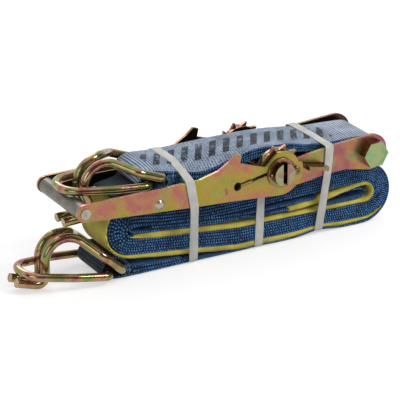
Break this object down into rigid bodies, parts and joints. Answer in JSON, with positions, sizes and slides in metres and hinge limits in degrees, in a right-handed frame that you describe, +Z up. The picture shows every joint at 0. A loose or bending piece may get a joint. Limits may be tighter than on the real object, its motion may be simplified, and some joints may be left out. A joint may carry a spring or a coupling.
{
  "type": "ratchet tie down",
  "caption": "Hand ratchet tie down packed on its rolled blue webbing strap, with twin hooks, wire keepers, wear sleeves and rubber bands.",
  "frame": {"origin": "on the rolled strap's flat underside, straight under the spindle axis and on the mid-plane of the webbing", "axes": "+X along the tie down from the hooks to the anchor bolt, +Y across the webbing, +Z up"},
  "size_m": [0.4005, 0.101, 0.116],
  "materials": {
    "plated_steel": "glossy yellow passivated zinc with pink and green tints",
    "plated_rod": "glossy yellow passivated zinc",
    "bare_steel": "satin bare steel",
    "blue_webbing": "ribbed polyester webbing",
    "navy_sleeve": "plain woven webbing",
    "yellow_sleeve": "woven wear sleeve",
    "grey_rubber": "matt rubber"
  },
  "bodies": {
    "ratchet_base": {"frame": "plated_steel", "anchor_bolt": "plated_steel", "anchor_nut": "plated_steel", "bolt_spacer": "bare_steel", "locking_pawl_springs": "bare_steel", "fixed_strap": "blue_webbing", "coil_core_turns": "blue_webbing", "inner_yellow_sleeve": "yellow_sleeve", "coil_middle_turns": "blue_webbing", "outer_yellow_sleeve": "yellow_sleeve", "coil_outer_turns": "blue_webbing", "strap_tail": "blue_webbing", "lower_eye_sleeve": "navy_sleeve", "rubber_band_left": "grey_rubber", "rubber_band_middle": "grey_rubber", "rubber_band_right": "grey_rubber"},
    "handle": {"handle_plate_near": "plated_steel", "handle_plate_far": "plated_steel", "grip_tube": "bare_steel", "grip_pin": "bare_steel", "handle_rivets": "plated_steel", "drive_spring_seat": "plated_steel", "drive_pawl_springs": "bare_steel", "upper_eye_sleeve": "navy_sleeve"},
    "spindle": {"spindle_half_left": "bare_steel", "spindle_half_right": "bare_steel", "ratchet_wheel_near": "plated_steel", "ratchet_wheel_far": "plated_steel", "spindle_washers": "bare_steel", "spindle_cotter_pins": "bare_steel"},
    "locking_pawl": {"locking_pawl": "plated_steel"},
    "drive_pawl": {"drive_pawl": "plated_steel"},
    "upper_hook": {"upper_hook": "plated_rod"},
    "upper_keeper": {"upper_keeper": "plated_rod"},
    "lower_hook": {"lower_hook": "plated_rod"},
    "lower_keeper": {"lower_keeper": "plated_rod"}
  },
  "joints": [
    {"name": "handle_hinge", "type": "hinge", "parent": "ratchet_base", "child": "handle", "pos_m": [0, 0, 0.081], "axis": [0, 1, 0], "range_deg": [0, 150], "deforming": ["fixed_strap", "rubber_band_left"]},
    {"name": "spindle_turn", "type": "hinge", "parent": "ratchet_base", "child": "spindle", "pos_m": [0, 0, 0.081], "axis": [0, 1, 0], "continuous": true},
    {"name": "locking_pawl_slide", "type": "slide", "parent": "ratchet_base", "child": "locking_pawl", "axis": [0.9816, 0, -0.1908], "range_m": [-0.004, 0.001], "stiffness_N_per_m": 250, "deforming": ["locking_pawl_springs"]},
    {"name": "drive_pawl_slide", "type": "slide", "parent": "handle", "child": "drive_pawl", "axis": [-0.9799, 0, -0.1994], "range_m": [-0.004, 0.001], "stiffness_N_per_m": 250, "deforming": ["drive_pawl_springs"]},
    {"name": "upper_hook_swing", "type": "hinge", "parent": "handle", "child": "upper_hook", "pos_m": [-0.1198, 0, 0.0944], "axis": [0, 1, 0], "range_deg": [0, 3]},
    {"name": "upper_keeper_swing", "type": "hinge", "parent": "handle", "child": "upper_keeper", "pos_m": [-0.1333, 0, 0.0896], "axis": [0, 1, 0], "range_deg": [0, 15]},
    {"name": "lower_hook_swing", "type": "hinge", "parent": "ratchet_base", "child": "lower_hook", "pos_m": [-0.1629, 0, 0.011], "axis": [0, 1, 0], "range_deg": [-10, 0]},
    {"name": "lower_keeper_swing", "type": "hinge", "parent": "ratchet_base", "child": "lower_keeper", "pos_m": [-0.1755, 0, 0.0079], "axis": [0, 1, 0], "range_deg": [0, 20]}
  ]
}
